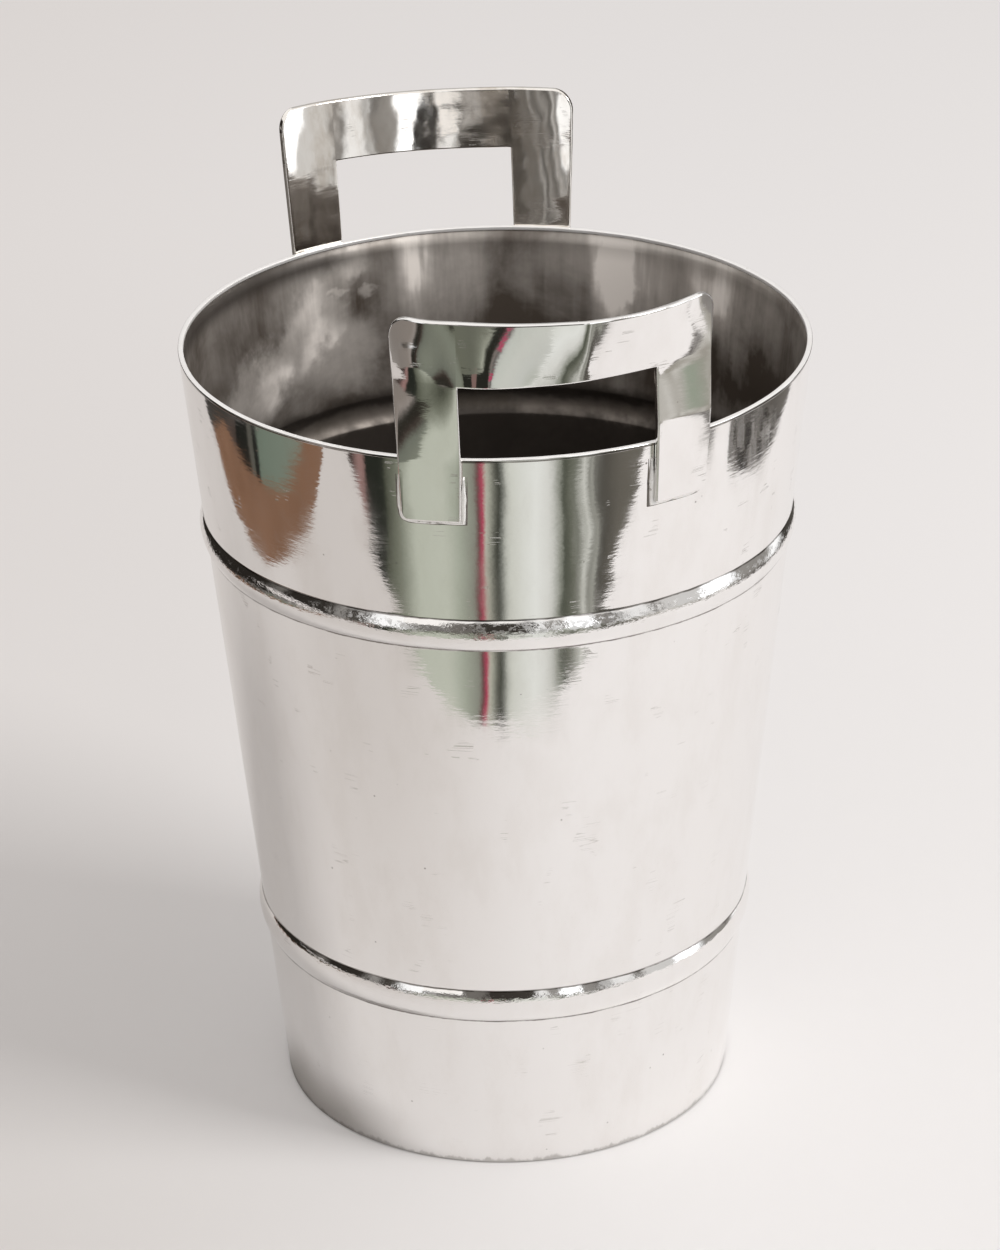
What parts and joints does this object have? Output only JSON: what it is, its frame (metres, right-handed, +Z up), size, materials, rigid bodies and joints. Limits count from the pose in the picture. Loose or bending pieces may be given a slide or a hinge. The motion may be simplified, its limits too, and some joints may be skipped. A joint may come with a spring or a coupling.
{
  "type": "champagne bucket",
  "caption": "Tall tapered champagne bucket in polished silver-plated sheet metal with swaged ribs, an everted lip and fixed strap handles cut from flat sheet.",
  "frame": {"origin": "middle of the base, on the surface that the bucket stands on", "axes": "+Z up along the body's axis, -Y towards the front handle, +X to the right of it"},
  "size_m": [0.2038, 0.2245, 0.3127],
  "materials": {
    "silver_plate": "mirror-polished silver plate with fine scratches",
    "silver_inside": "matt tarnished silver plate",
    "solder": "satin solder"
  },
  "bodies": {
    "root": {"body_wall": "silver_plate", "rim_bead": "silver_plate", "floor_pan": "silver_inside", "floor_seam": "solder", "handle_front": "silver_plate", "handle_back": "silver_plate", "seam_front_left": "solder", "seam_front_right": "solder", "seam_back_left": "solder", "seam_back_right": "solder"}
  },
  "joints": []
}
